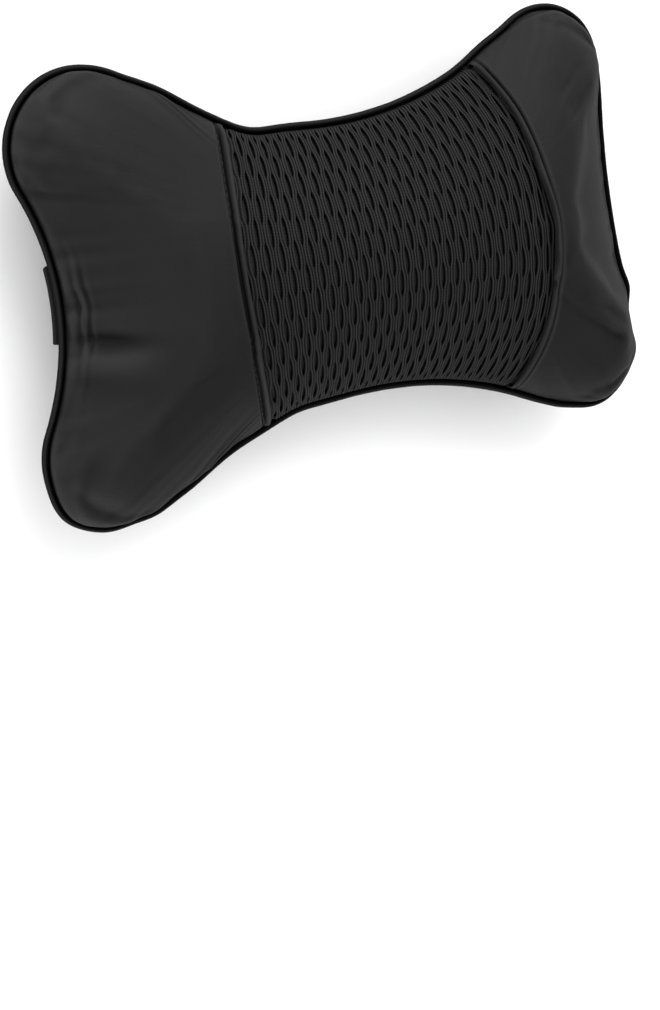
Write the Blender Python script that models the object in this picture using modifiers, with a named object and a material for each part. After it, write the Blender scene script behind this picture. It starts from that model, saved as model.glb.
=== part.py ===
"""Car neck pillow: a bone-shaped stuffed cushion that straps to a headrest, lying on its back.

X runs along the pillow's length, Y from its lower edge to its upper edge, and Z out of its front.
The origin is on the resting plane, under the middle of the outline.
"""
import math

import bmesh
import bpy
import numpy as np

# Driving dimensions, in metres
PILLOW_LENGTH = 0.290
PILLOW_HEIGHT = 0.180
LOBE_RADIUS = 0.0315
TOP_HOLLOW_RADIUS = 0.159
BOTTOM_HOLLOW_RADIUS = 0.184
LEFT_HOLLOW_RADIUS = 0.102
RIGHT_HOLLOW_RADIUS = 0.337
FRONT_CROWN = 0.031
BACK_CROWN = 0.050
REST_DEPTH = 0.040
REST_ROUNDING = 0.0015
EDGE_FULLNESS = 0.6
PIPING_DIAMETER = 0.0028
LEATHER_THICKNESS = 0.0009
MESH_THICKNESS = 0.0012
MESH_RIDGE = 0.0006
LINING_THICKNESS = 0.0006
LINING_MARGIN = 0.0035
STUFFING_MARGIN = 0.004
STUFFING_SLACK = 0.0016
CLEARANCE = 0.0003
EDGE_LIFT = 0.0007

# Middle panel: how wide it is where it meets the piping, and how its two side seams run
PANEL_WIDTH = 0.118
PANEL_SHIFT = 0.0095
SEAM_LEAN = 0.0028
SEAM_BULGE = 0.0132

# Woven middle panel: columns and rows of gaps, and how far a gap opens
GAP_COLUMNS = 20
GAP_ROWS = 5
GAP_WIDTH = 0.0027
STRAND_JOIN_SHARE = 0.25
ROW_CROWDING = 0.5

# Elastic strap across the back, sewn into both end seams
STRAP_WIDTH = 0.029
STRAP_THICKNESS = 0.0014
STRAP_Y = 0.002
STRAP_CHANNEL_WALL = 0.005
STRAP_CHANNEL_EASE = 0.001
STRAP_LOOP_REACH = 0.0045
STRAP_LOOP_INSET = 0.010
STRAP_LOOP_CELLS = 9

# How far the sewing left each corner lobe from the even outline: right, up, and larger in radius
LOBE_DRIFT = {
    "top_right": (-0.0093, 0.0006, -0.0013),
    "top_left": (0.0016, 0.0005, -0.0004),
    "bottom_left": (-0.0006, -0.0001, 0.0),
    "bottom_right": (-0.0023, 0.0021, 0.0012),
}

# Grid cells along each stretch of the outline and across the panels
WAIST_CELLS = 5
LOBE_CELLS = 9
END_CELL_COUNT = 2
CENTRE_COLUMNS = 6
FRONT_CAP_RINGS = 5
BACK_CAP_RINGS = 5
RING_EASE = 1.6
LINING_ROWS = 12
LINING_COLUMNS = 8

LEFT, RIGHT = -1, 1
FRONT, BACK = 1, -1
PIPING_RADIUS = PIPING_DIAMETER / 2
PANEL_INSET = PIPING_DIAMETER + CLEARANCE
STRAP_SINK = STRAP_THICKNESS + CLEARANCE
CHANNEL_HALF = STRAP_WIDTH / 2 + STRAP_CHANNEL_EASE
BAND_LEVELS = [STRAP_Y + offset for offset in (
    -CHANNEL_HALF - STRAP_CHANNEL_WALL, -CHANNEL_HALF, 0.0, CHANNEL_HALF, CHANNEL_HALF + STRAP_CHANNEL_WALL)]


def clear_scene():
    for old in list(bpy.data.objects):
        bpy.data.objects.remove(old)


# Outline: four round lobes joined by four hollow arcs

def lobe_circle(name, inset):
    """A corner lobe as centre x, centre y and radius, drawn in from the piping's outer edge."""
    side = RIGHT if "right" in name else LEFT
    height = 1 if "top" in name else -1
    right, up, larger = LOBE_DRIFT[name]
    x = side * (PILLOW_LENGTH / 2 - LOBE_RADIUS) + right
    y = height * (PILLOW_HEIGHT / 2 - LOBE_RADIUS) + up
    return x, y, LOBE_RADIUS + larger - inset


def hollow_circle(first, second, radius, inset):
    """The circle outside the pillow that touches two lobes, named counter-clockwise."""
    ax, ay, a_radius = lobe_circle(first, 0.0)
    bx, by, b_radius = lobe_circle(second, 0.0)
    gap = math.hypot(bx - ax, by - ay)
    along = ((radius + a_radius) ** 2 - (radius + b_radius) ** 2 + gap ** 2) / (2 * gap)
    out = math.sqrt((radius + a_radius) ** 2 - along ** 2)
    step_x, step_y = (bx - ax) / gap, (by - ay) / gap
    return ax + step_x * along + step_y * out, ay + step_y * along - step_x * out, radius + inset


def waist_hollow(height, inset):
    if height > 0:
        return hollow_circle("top_right", "top_left", TOP_HOLLOW_RADIUS, inset)
    return hollow_circle("bottom_left", "bottom_right", BOTTOM_HOLLOW_RADIUS, inset)


def end_hollow(side, inset):
    if side == LEFT:
        return hollow_circle("top_left", "bottom_left", LEFT_HOLLOW_RADIUS, inset)
    return hollow_circle("bottom_right", "top_right", RIGHT_HOLLOW_RADIUS, inset)


def waist_y(x, height, inset):
    """Height of the upper (1) or lower (-1) edge of the waist at x."""
    cx, cy, radius = waist_hollow(height, inset)
    return cy - height * math.sqrt(radius ** 2 - (x - cx) ** 2)


def end_x(y, side, inset):
    """Place of the left or right end of the outline at y, between its two lobes."""
    cx, cy, radius = end_hollow(side, inset)
    return cx - side * math.sqrt(radius ** 2 - (y - cy) ** 2)


def short_arc(circle, start, end, cells):
    """Points on a circle from the bearing of one place to that of another, without the last one."""
    cx, cy, radius = circle
    first = math.atan2(start[1] - cy, start[0] - cx)
    turn = (math.atan2(end[1] - cy, end[0] - cx) - first + math.pi) % math.tau - math.pi
    bearings = [first + turn * k / cells for k in range(cells)]
    return [(cx + radius * math.cos(b), cy + radius * math.sin(b)) for b in bearings]


# Seams between the leather end panels and the middle panel

def seam_end(side, height, inset, clear):
    """Where a seam meets the outline; clear moves the seam away from the pillow's middle."""
    x = PANEL_SHIFT - height * SEAM_LEAN + side * (PANEL_WIDTH / 2 + clear)
    return x, waist_y(x, height, inset)


def seam_x(y, side, inset, clear):
    """The seam's place at y: a straight run between its ends, bowed outwards by the stuffing."""
    low, high = seam_end(side, -1, inset, clear), seam_end(side, 1, inset, clear)
    share = (y - low[1]) / (high[1] - low[1])
    return low[0] + (high[0] - low[0]) * share + side * SEAM_BULGE * 4 * share * (1 - share)


def seam_levels(side, inset, clear, cells):
    """Heights down the seam, with the strap channel's own levels in the middle."""
    low, high = seam_end(side, -1, inset, clear)[1], seam_end(side, 1, inset, clear)[1]
    below = np.linspace(low, BAND_LEVELS[0], cells + 1)
    above = np.linspace(BAND_LEVELS[-1], high, cells + 1)
    return [*below, *BAND_LEVELS[1:-1], *above]


def cap_border(side, inset, clear, waist, lobe, end):
    """The outline of a leather end, from the seam's lower end round both lobes to its upper end."""
    names = ("bottom_left", "top_left") if side == LEFT else ("bottom_right", "top_right")
    low_lobe, high_lobe = (lobe_circle(name, inset) for name in names)
    low_waist, high_waist = waist_hollow(-1, inset), waist_hollow(1, inset)
    hollow = end_hollow(side, inset)
    band = [(end_x(y, side, inset), y) for y in BAND_LEVELS]
    low_end, high_end = seam_end(side, -1, inset, clear), seam_end(side, 1, inset, clear)
    points = short_arc(low_waist, low_end, low_lobe, waist)
    points += short_arc(low_lobe, low_waist, hollow, lobe)
    points += short_arc(hollow, low_lobe, band[0], end)
    points += band[:-1]
    points += short_arc(hollow, band[-1], high_lobe, end)
    points += short_arc(high_lobe, hollow, high_waist, lobe)
    points += short_arc(high_waist, high_lobe, high_end, waist)
    return np.array(points + [high_end])


def ring_shares(rings):
    return (np.arange(rings + 1) / rings) ** RING_EASE


def cap_plan(side, inset, clear, rings, waist=WAIST_CELLS, lobe=LOBE_CELLS, end=END_CELL_COUNT):
    """Plan grid of a leather end: lines ruled from the outline to the seam, closer near the outline."""
    border = cap_border(side, inset, clear, waist, lobe, end)
    levels = seam_levels(side, inset, clear, waist + lobe + end)
    seam = np.array([(seam_x(y, side, inset, clear), y) for y in levels])
    return border[None] + (seam - border)[None] * ring_shares(rings)[:, None, None]


def centre_edge(u, height, inset, clear):
    """The waist's edge on the column that lies at share u between the two seams."""
    y = seam_end(LEFT, height, inset, clear)[1]
    for _ in range(12):
        y = waist_y(centre_x(u, y, inset, clear), height, inset)
    return centre_x(u, y, inset, clear), y


def centre_x(u, y, inset, clear):
    return (1 - u) * seam_x(y, LEFT, inset, clear) + u * seam_x(y, RIGHT, inset, clear)


def centre_point(u, v, inset, clear):
    """Plan point of the middle panel, u from the left seam to the right and v from below to above."""
    low, high = centre_edge(u, -1, inset, clear)[1], centre_edge(u, 1, inset, clear)[1]
    y = low + (high - low) * v
    return centre_x(u, y, inset, clear), y


def crowded(share):
    """Brings rows closer together towards both edges, where the surface turns down."""
    return share + ((1 - math.cos(math.pi * share)) / 2 - share) * ROW_CROWDING


def centre_band_plan(inset, columns, cells):
    """Plan grid of the middle that shares its rows with the leather ends beside it."""
    grid = []
    for u in np.linspace(0.0, 1.0, columns + 1):
        low, high = centre_edge(u, -1, inset, 0.0)[1], centre_edge(u, 1, inset, 0.0)[1]
        below = np.linspace(low, BAND_LEVELS[0], cells + 1)
        above = np.linspace(BAND_LEVELS[-1], high, cells + 1)
        levels = [*below, *BAND_LEVELS[1:-1], *above]
        grid.append([(centre_x(u, y, inset, 0.0), y) for y in levels])
    return np.array(grid)


def outline(inset):
    """The whole outline as one closed run of points, counter-clockwise."""
    counts = (WAIST_CELLS, LOBE_CELLS, END_CELL_COUNT)
    shares = np.linspace(0.0, 1.0, CENTRE_COLUMNS + 1)[1:-1]
    right = cap_border(RIGHT, inset, 0.0, *counts)
    top = [centre_edge(u, 1, inset, 0.0) for u in shares[::-1]]
    left = cap_border(LEFT, inset, 0.0, *counts)[::-1]
    bottom = [centre_edge(u, -1, inset, 0.0) for u in shares]
    return np.array([*right, *top, *left, *bottom])


# Stuffed form: the skins rise from the outline as a membrane pushed out by the filling

def depth_inside(plan, border):
    """A smooth depth inside the outline, equal to the true distance close to a straight edge."""
    run = np.roll(border, -1, axis=0) - border
    length = np.linalg.norm(run, axis=1)
    unit = run / length[:, None]
    from_start = plan[..., None, :] - border
    along = (from_start * unit).sum(-1)
    off_line = np.maximum((from_start ** 2).sum(-1) - along ** 2, 1e-13)
    ahead, behind = length - along, along
    pull = ahead / np.sqrt(off_line + ahead ** 2) + behind / np.sqrt(off_line + behind ** 2)
    return np.sqrt(2.0 / (pull / off_line).sum(-1))


PANEL_BORDER = outline(PANEL_INSET)
LENGTHWISE = np.column_stack([np.linspace(-PILLOW_LENGTH / 3, PILLOW_LENGTH / 3, 41), np.zeros(41)])
FULL_DEPTH = depth_inside(LENGTHWISE, PANEL_BORDER).max()


def rest_limit(y):
    """Depth at which the back lies flat: less under the strap, which sinks flush into the back."""
    past = (np.abs(y - STRAP_Y) - CHANNEL_HALF) / STRAP_CHANNEL_WALL
    ease = np.clip(past, 0.0, 1.0)
    return REST_DEPTH - STRAP_SINK * (1.0 - ease * ease * (3.0 - 2.0 * ease))


def skin_height(plan, face):
    """Height of the front skin, or depth of the back skin, beyond the piping's plane."""
    share = depth_inside(plan, PANEL_BORDER) / FULL_DEPTH
    crown = FRONT_CROWN if face == FRONT else BACK_CROWN
    height = EDGE_LIFT + crown * share ** EDGE_FULLNESS
    if face == FRONT:
        return height
    limit = rest_limit(plan[..., 1])
    short_of_flat = np.clip(limit + REST_ROUNDING - height, 0.0, 2 * REST_ROUNDING)
    rounded = limit - short_of_flat ** 2 / (4 * REST_ROUNDING)
    return np.where(height > limit - REST_ROUNDING, rounded, height)


def skin_steepness(plan, face):
    """How much longer a step straight down is than the same step along the skin's normal."""
    step = 0.0003
    sideways, upwards = np.array([step, 0.0]), np.array([0.0, step])
    slope_x = (skin_height(plan + sideways, face) - skin_height(plan - sideways, face)) / (2 * step)
    slope_y = (skin_height(plan + upwards, face) - skin_height(plan - upwards, face)) / (2 * step)
    return np.sqrt(1.0 + slope_x ** 2 + slope_y ** 2)


def skin_points(plan, face, below=0.0):
    """Points of a skin, or of a layer a given distance below it."""
    height = skin_height(plan, face)
    if below:
        height = height - below * skin_steepness(plan, face)
    return np.dstack([plan, face * height])


# Meshes and objects

def add_grid(bm, points):
    """A plane grid primitive whose vertices are moved onto rows of points."""
    rows, columns = points.shape[0] - 1, points.shape[1] - 1
    grid = bmesh.ops.create_grid(bm, x_segments=columns, y_segments=rows, size=1.0)
    for vertex in grid["verts"]:
        column = round((vertex.co.x + 1) / 2 * columns)
        row = round((vertex.co.y + 1) / 2 * rows)
        vertex.co = points[row, column]


def face_towards(bm, face):
    """Turns all faces of an open sheet the same way, out of the front or out of the back."""
    bmesh.ops.recalc_face_normals(bm, faces=bm.faces)
    bm.normal_update()
    if sum(f.normal.z * f.calc_area() for f in bm.faces) * face < 0:
        bmesh.ops.reverse_faces(bm, faces=bm.faces)


def place_object(name, mesh, material):
    """Puts a mesh in the pillow's collection, lifted so that the flattened back rests at height 0."""
    for polygon in mesh.polygons:
        polygon.use_smooth = True
    part = bpy.data.objects.new(name, mesh)
    part.data.materials.append(material)
    part.location = (-outline_centre_x(), -outline_centre_y(), REST_DEPTH)
    PILLOW.objects.link(part)
    return part


def outline_centre_x():
    edges = [(x - r, x + r) for x, _, r in (lobe_circle(name, 0.0) for name in LOBE_DRIFT)]
    return (min(low for low, _ in edges) + max(high for _, high in edges)) / 2


def outline_centre_y():
    edges = [(y - r, y + r) for _, y, r in (lobe_circle(name, 0.0) for name in LOBE_DRIFT)]
    return (min(low for low, _ in edges) + max(high for _, high in edges)) / 2


def make_sheet(name, grids, face, thickness, material, outwards=False):
    """A sewn panel: point grids joined into one skin, thickened inwards, or outwards for the strap."""
    bm = bmesh.new()
    for points in grids:
        add_grid(bm, points)
    bmesh.ops.remove_doubles(bm, verts=bm.verts, dist=1e-6)
    face_towards(bm, face)
    mesh = bpy.data.meshes.new(name)
    bm.to_mesh(mesh)
    bm.free()
    panel = place_object(name, mesh, material)
    solidify = panel.modifiers.new("Thickness", "SOLIDIFY")
    solidify.thickness = thickness
    solidify.offset = 1.0 if outwards else -1.0
    solidify.use_quality_normals = True
    return panel


def make_material(name, colour, roughness):
    material = bpy.data.materials.new(name)
    material.use_nodes = True
    shader = material.node_tree.nodes["Principled BSDF"]
    shader.inputs["Base Color"].default_value = (*colour, 1.0)
    shader.inputs["Roughness"].default_value = roughness
    shader.inputs["Metallic"].default_value = 0.0
    return material


# Sub-parts

def make_front_end_panel(name, side, material):
    plan = cap_plan(side, PANEL_INSET, CLEARANCE / 2, FRONT_CAP_RINGS)
    return make_sheet(name, [skin_points(plan, FRONT)], FRONT, LEATHER_THICKNESS, material)


def make_back_panel(material):
    """One leather back over the whole outline, with the flattened rest and the strap's channel."""
    cells = WAIST_CELLS + LOBE_CELLS + END_CELL_COUNT
    plans = [cap_plan(side, PANEL_INSET, 0.0, BACK_CAP_RINGS) for side in (LEFT, RIGHT)]
    plans.append(centre_band_plan(PANEL_INSET, CENTRE_COLUMNS, cells))
    grids = [skin_points(plan, BACK) for plan in plans]
    return make_sheet("back_panel", grids, BACK, LEATHER_THICKNESS, material)


def gap_half_width(column, station):
    """Half the opening of a column of gaps at a station; neighbouring columns are staggered."""
    last = 4 * GAP_ROWS
    joined = (0, 1) if column % 2 == 0 else (2, 3)
    if station % 4 in joined or station in (0, 1, last - 1, last):
        return 0.0
    return GAP_WIDTH / 2 / PANEL_WIDTH


def strand_share(station):
    """Height share of a station: short steps where strands join, and rows that crowd at the edges."""
    row, step = divmod(station, 4)
    within = (0.0, STRAND_JOIN_SHARE, 0.5, 0.5 + STRAND_JOIN_SHARE)[step]
    return crowded((row + within) / GAP_ROWS)


def make_front_centre_mesh(material):
    """The woven panel as one wall: wavy ridged strands that join their neighbours by turns."""
    inset, clear = PANEL_INSET, -CLEARANCE / 2
    stations = range(4 * GAP_ROWS + 1)
    pitch = 1.0 / (GAP_COLUMNS + 1)
    grids = []
    for strand in range(GAP_COLUMNS + 1):
        rows = []
        for station in stations:
            left = 0.0 if strand == 0 else strand * pitch + gap_half_width(strand - 1, station)
            right = (strand + 1) * pitch - gap_half_width(strand, station)
            if strand == GAP_COLUMNS:
                right = 1.0
            v = strand_share(station)
            rows.append([centre_point(u, v, inset, clear) for u in (left, (left + right) / 2, right)])
        points = skin_points(np.array(rows), FRONT)
        points[:, (0, 2), 2] -= MESH_RIDGE
        points[(0, -1), 1, 2] -= MESH_RIDGE
        points[:, :, 2] = np.maximum(points[:, :, 2], EDGE_LIFT)
        grids.append(points)
    return make_sheet("front_centre_mesh", grids, FRONT, MESH_THICKNESS, material)


def make_centre_lining(material):
    """Plain cloth behind the woven panel."""
    inset, clear = PANEL_INSET + LINING_MARGIN, -CLEARANCE
    shares = [crowded(share) for share in np.linspace(0.0, 1.0, LINING_ROWS + 1)]
    columns = np.linspace(0.0, 1.0, LINING_COLUMNS + 1)
    plan = np.array([[centre_point(u, v, inset, clear) for u in columns] for v in shares])
    below = MESH_THICKNESS + MESH_RIDGE + 2 * CLEARANCE
    return make_sheet("centre_lining", [skin_points(plan, FRONT, below)], FRONT, LINING_THICKNESS, material)


def make_inner_cushion(material):
    """The stuffed insert that fills the cover, a closed body between the two skins."""
    inset = PANEL_INSET + STUFFING_MARGIN
    waist, lobe, end = 2, 6, 1
    plans = [cap_plan(side, inset, 0.0, 3, waist, lobe, end) for side in (LEFT, RIGHT)]
    plans.append(centre_band_plan(inset, 5, waist + lobe + end))
    below = MESH_THICKNESS + MESH_RIDGE + LINING_THICKNESS + STUFFING_SLACK
    bm = bmesh.new()
    for plan in plans:
        add_grid(bm, skin_points(plan, FRONT, below))
    bmesh.ops.remove_doubles(bm, verts=bm.verts, dist=1e-6)
    face_towards(bm, FRONT)
    extruded = bmesh.ops.extrude_face_region(bm, geom=bm.faces[:], use_keep_orig=True)
    for vertex in (item for item in extruded["geom"] if isinstance(item, bmesh.types.BMVert)):
        plan = np.array([[[vertex.co.x, vertex.co.y]]])
        vertex.co = skin_points(plan, BACK, below)[0, 0]
    bmesh.ops.recalc_face_normals(bm, faces=bm.faces)
    mesh = bpy.data.meshes.new("inner_cushion")
    bm.to_mesh(mesh)
    bm.free()
    return place_object("inner_cushion", mesh, material)


def make_edge_piping(material):
    """A round corded welt along the whole outline."""
    path = outline(PIPING_RADIUS)
    curve = bpy.data.curves.new("edge_piping", "CURVE")
    curve.dimensions = "3D"
    curve.bevel_depth = PIPING_RADIUS
    curve.bevel_resolution = 2
    spline = curve.splines.new("POLY")
    spline.points.add(len(path) - 1)
    for point, (x, y) in zip(spline.points, path):
        point.co = (x, y, 0.0, 1.0)
    spline.use_cyclic_u = True
    spline.use_smooth = True
    piping = bpy.data.objects.new("edge_piping", curve)
    piping.data.materials.append(material)
    piping.location = (-outline_centre_x(), -outline_centre_y(), REST_DEPTH)
    PILLOW.objects.link(piping)
    return piping


def strap_stops(y, side):
    """Places along the strap from its loop to the seam line, on the same lines as the back panel."""
    border, seam = end_x(y, side, PANEL_INSET), seam_x(y, side, PANEL_INSET, 0.0)
    rings = border + (seam - border) * ring_shares(BACK_CAP_RINGS)
    return [border - side * STRAP_LOOP_INSET] + [x for x in rings if abs(x - border) > STRAP_LOOP_INSET]


def strap_loop(y, side, start):
    """The strap's inner face from a point on the back, out past the piping and in under it."""
    border = end_x(y, side, PANEL_INSET)
    behind = skin_points(np.array([[[start[0] - side * 0.001, y]]]), BACK, -CLEARANCE)[0, 0]
    outwards = (start - behind) / np.linalg.norm(start - behind)
    seam = np.array([border + side * 2 * CLEARANCE, y, -(PIPING_RADIUS + CLEARANCE + STRAP_THICKNESS)])
    far = seam + np.array([side * STRAP_LOOP_REACH, 0.0, 0.0])
    near = start + outwards * STRAP_LOOP_INSET
    shares = (np.arange(1, STRAP_LOOP_CELLS + 1) / STRAP_LOOP_CELLS)[:, None]
    back = 1 - shares
    return back ** 3 * start + 3 * back ** 2 * shares * near + 3 * back * shares ** 2 * far + shares ** 3 * seam


def strap_row(y):
    """The strap's inner face at y, from the left end seam under the back to the right end seam."""
    left, right = strap_stops(y, LEFT), strap_stops(y, RIGHT)
    middle = np.linspace(left[-1], right[-1], CENTRE_COLUMNS + 1)[1:-1]
    stops = [*left, *middle, *right[::-1]]
    plan = np.array([[(x, y) for x in stops]])
    across = skin_points(plan, BACK, -CLEARANCE)[0]
    return [*strap_loop(y, LEFT, across[0])[::-1], *across, *strap_loop(y, RIGHT, across[-1])]


def make_elastic_strap(material):
    """A flat elastic band, looped out of each end seam and pressed flush into the back."""
    levels = np.linspace(STRAP_Y - STRAP_WIDTH / 2, STRAP_Y + STRAP_WIDTH / 2, 3)
    points = np.array([strap_row(y) for y in levels])
    return make_sheet("elastic_strap", [points], BACK, STRAP_THICKNESS, material, outwards=True)


def build():
    leather = make_material("black_leather", (0.032, 0.032, 0.033), 0.5)
    mesh = make_material("black_woven_mesh", (0.018, 0.018, 0.019), 0.65)
    lining = make_material("black_lining", (0.008, 0.008, 0.008), 0.9)
    piping = make_material("black_piping", (0.010, 0.010, 0.010), 0.45)
    elastic = make_material("black_elastic", (0.014, 0.014, 0.014), 0.8)
    stuffing = make_material("white_stuffing", (0.75, 0.75, 0.72), 0.95)
    make_front_end_panel("front_left_panel", LEFT, leather)
    make_front_end_panel("front_right_panel", RIGHT, leather)
    make_front_centre_mesh(mesh)
    make_centre_lining(lining)
    make_back_panel(leather)
    make_edge_piping(piping)
    make_elastic_strap(elastic)
    make_inner_cushion(stuffing)


clear_scene()
PILLOW = bpy.data.collections.new("car_neck_pillow")
bpy.context.scene.collection.children.link(PILLOW)
build()
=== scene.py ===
"""Looks of the car neck pillow: leather ends, woven middle, corded piping, elastic strap and stuffing.

Lengths are in metres. Plan points are X along the pillow and Y from its lower to its upper edge, as in the
part's source. Depth inside is how far a plan point lies from the piping, and skins rise out of the plan.
"""
import math

import bmesh
import bpy
import numpy as np
from mathutils import Matrix, Vector


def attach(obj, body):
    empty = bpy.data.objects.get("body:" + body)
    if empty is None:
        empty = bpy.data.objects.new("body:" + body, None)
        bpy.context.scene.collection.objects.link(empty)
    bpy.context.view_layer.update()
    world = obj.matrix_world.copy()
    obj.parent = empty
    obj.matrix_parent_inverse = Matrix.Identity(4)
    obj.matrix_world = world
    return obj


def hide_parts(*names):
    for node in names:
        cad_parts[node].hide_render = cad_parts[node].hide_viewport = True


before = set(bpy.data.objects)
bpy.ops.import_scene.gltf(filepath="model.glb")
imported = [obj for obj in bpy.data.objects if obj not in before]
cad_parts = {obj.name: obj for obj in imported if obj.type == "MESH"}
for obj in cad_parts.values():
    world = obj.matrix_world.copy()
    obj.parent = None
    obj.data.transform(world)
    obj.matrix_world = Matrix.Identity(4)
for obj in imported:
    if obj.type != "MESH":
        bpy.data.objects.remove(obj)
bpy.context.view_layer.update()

# Sizes shared with the part's source
PILLOW_LENGTH = 0.290
PILLOW_HEIGHT = 0.180
LOBE_RADIUS = 0.0315
TOP_HOLLOW_RADIUS = 0.159
BOTTOM_HOLLOW_RADIUS = 0.184
LEFT_HOLLOW_RADIUS = 0.102
RIGHT_HOLLOW_RADIUS = 0.337
FRONT_CROWN = 0.031
BACK_CROWN = 0.050
REST_DEPTH = 0.040
REST_ROUNDING = 0.0015
EDGE_FULLNESS = 0.6
PIPING_DIAMETER = 0.0028
LEATHER_THICKNESS = 0.0009
MESH_THICKNESS = 0.0012
LINING_THICKNESS = 0.0006
CLEARANCE = 0.0003
EDGE_LIFT = 0.0007
PANEL_WIDTH = 0.118
PANEL_SHIFT = 0.0095
SEAM_LEAN = 0.0028
SEAM_BULGE = 0.0132
STRAP_WIDTH = 0.029
STRAP_THICKNESS = 0.0014
STRAP_Y = 0.002
STRAP_CHANNEL_WALL = 0.005
STRAP_CHANNEL_EASE = 0.001
STRAP_LOOP_REACH = 0.0045
STRAP_LOOP_INSET = 0.010
LOBE_DRIFT = {
    "top_right": (-0.0093, 0.0006, -0.0013),
    "top_left": (0.0016, 0.0005, -0.0004),
    "bottom_left": (-0.0006, -0.0001, 0.0),
    "bottom_right": (-0.0023, 0.0021, 0.0012),
}

# Woven middle: neighbouring columns open by turns, so the gaps lie like bricks
GAP_COLUMNS = 45
GAP_ROWS = 14
GAP_WIDTH = 0.0013
GAP_LENGTH_IN_ROWS = 1.25
STATIONS_PER_ROW = 8
STRAND_RIDGE = 0.0012
STRAND_PLACES = (0.0, 0.13, 0.34, 0.5, 0.66, 0.87, 1.0)
STRAND_CROWN = (0.0, 0.85, 1.0, 0.35, 1.0, 0.85, 0.0)
# How often the painted highlights on the strands' ridges repeat: two across each strand
RIDGE_WAVE = math.tau * 2 * (GAP_COLUMNS + 1) / 20 / PANEL_WIDTH
ROW_CROWDING = 0.35

# Fine grid sizes
FINE_STEP = 0.0013
WAIST_CELLS = 36
LOBE_CELLS = 56
END_CELLS = 12
FRONT_RINGS = 90
BACK_RINGS = 40
CENTRE_COLUMNS = 57
RING_EASE = 1.6
SEAM_EASE = 1.8

# Folded and topstitched edge of the leather along the woven middle
LIP_WIDTH = 0.0025
LIP_HEIGHT = 0.0016
STITCH_LINE = 0.0033
GROOVE_DEPTH = 0.0018
GROOVE_WIDTH = 0.0009
TUCK_REACH = 0.0030
TUCK_DEPTH = 0.0018
STITCH_LENGTH = 0.0028
STITCH_PITCH = 0.0034
STITCH_RADIUS = 0.00022
STITCH_BOW = 0.00025
TUCK_WIDTH = 0.0035

# How far the filling rolls the skins out over the piping, less to the right of a turn
ROLL_OUT = 0.0024
ROLL_OUT_RIGHT = 0.0006
ROLL_WIDTH = 0.006
ROLL_TURN = 0.095
ROLL_TURN_WIDTH = 0.01
BACK_ROLL_SHARE = 0.3

# How softly forms begin at the piping, and how far from it the skins are drawn in
EDGE_EASE = 0.001
EDGE_TUCK_WIDTH = 0.0005

# Gathers at the piping, slow swells of the filling, and how softly they begin
PUCKER_HEIGHT = 0.0016
PUCKER_REACH = 0.009
BACK_PUCKER_HEIGHT = 0.0009
BACK_PUCKER_REACH = 0.010
PUCKER_EASE = 0.0012
PUCKER_SEAM_EASE = 0.025
SWELL_HEIGHT = 0.00035
SWELL_LENGTH = 0.045
SWELL_EASE = 0.01
REST_FADE = 0.004

# How the strap's sewn end draws in the left end
STRAP_END_X = -0.132
VALLEY_DEPTH = 0.0030
SHOULDER_HEIGHT = 0.0016
FOLD_HEIGHT = 0.0006
FOLD_PITCH = 0.0030

# Inner bag: how far it lies inside the outline and under the skins
BAG_INSET = 0.005
STUFFING_DEPTH = 0.0090
STRAP_RIBS = 9

# Cloth simulation of the front cover: coarser grid, spare cloth, the filling's pressure, time to settle, the
# longest move that the stuffed form allows, and how softly the moves begin at the piping
CLOTH_STEP = 3
CLOTH_SPARE = 0.04
CLOTH_PRESSURE = 3.0
CLOTH_FRAMES = 24
CLOTH_LIMIT = 0.0022
MOVE_EASE = 0.0008

# The piping's own tape between front and back: where it starts, how far in it reaches, and half its thickness
FLANGE_START = 0.0010
FLANGE_REACH = 0.0060
FLANGE_HALF = 0.0001

# The piping's painted highlight: waves round its cover, and where round it the painted highlight lies
PIPING_HIGHLIGHT_WAVE = 29.45
PIPING_HIGHLIGHT_PHASE = 2.27

# How the sewing pulled the finished pillow off its even form: place, shift and reach of each pull
SEWING_PULLS = (
    (-0.079, 0.074, 0.0015, 0.0033, 0.019),
    (-0.040, 0.059, 0.0000, -0.0026, 0.013),
    (0.074, 0.074, -0.0006, 0.0012, 0.012),
    (0.133, 0.064, -0.0013, 0.0000, 0.011),
    (0.139, -0.037, 0.0016, 0.0000, 0.006),
    (0.142, -0.053, -0.0032, 0.0000, 0.010),
    (0.104, -0.087, 0.0000, 0.0029, 0.014),
    (-0.033, -0.059, 0.0000, 0.0014, 0.013),
    (-0.083, -0.076, 0.0007, -0.0014, 0.014),
    (-0.111, -0.089, 0.0000, 0.0021, 0.010),
    (-0.138, -0.077, -0.0015, -0.0013, 0.011),
)

# Camera and light: the world is bright towards one side and dim away from it
CAMERA_AZIMUTH = math.radians(29.28)
CAMERA_ELEVATION = math.radians(15.17)
CAMERA_ROLL = math.radians(6.39)
CAMERA_DISTANCE = 0.843
CAMERA_LENS = 73.76
CAMERA_SHIFT_RIGHT = 0.00745
CAMERA_SHIFT_UP = 0.10144
BRIGHT_SIDE = (-0.55, 0.83, 0.0)
WORLD_DIM = 0.2
WORLD_BRIGHT = 2.2

LEFT, RIGHT = -1, 1
FRONT, BACK = 1, -1
PIPING_RADIUS = PIPING_DIAMETER / 2
PANEL_INSET = PIPING_DIAMETER + CLEARANCE
STRAP_SINK = STRAP_THICKNESS + CLEARANCE
CHANNEL_HALF = STRAP_WIDTH / 2 + STRAP_CHANNEL_EASE
BAND_STOPS = [STRAP_Y + offset for offset in (
    -CHANNEL_HALF - STRAP_CHANNEL_WALL, -CHANNEL_HALF, CHANNEL_HALF, CHANNEL_HALF + STRAP_CHANNEL_WALL)]


# Outline: four round lobes joined by four hollow arcs

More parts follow.
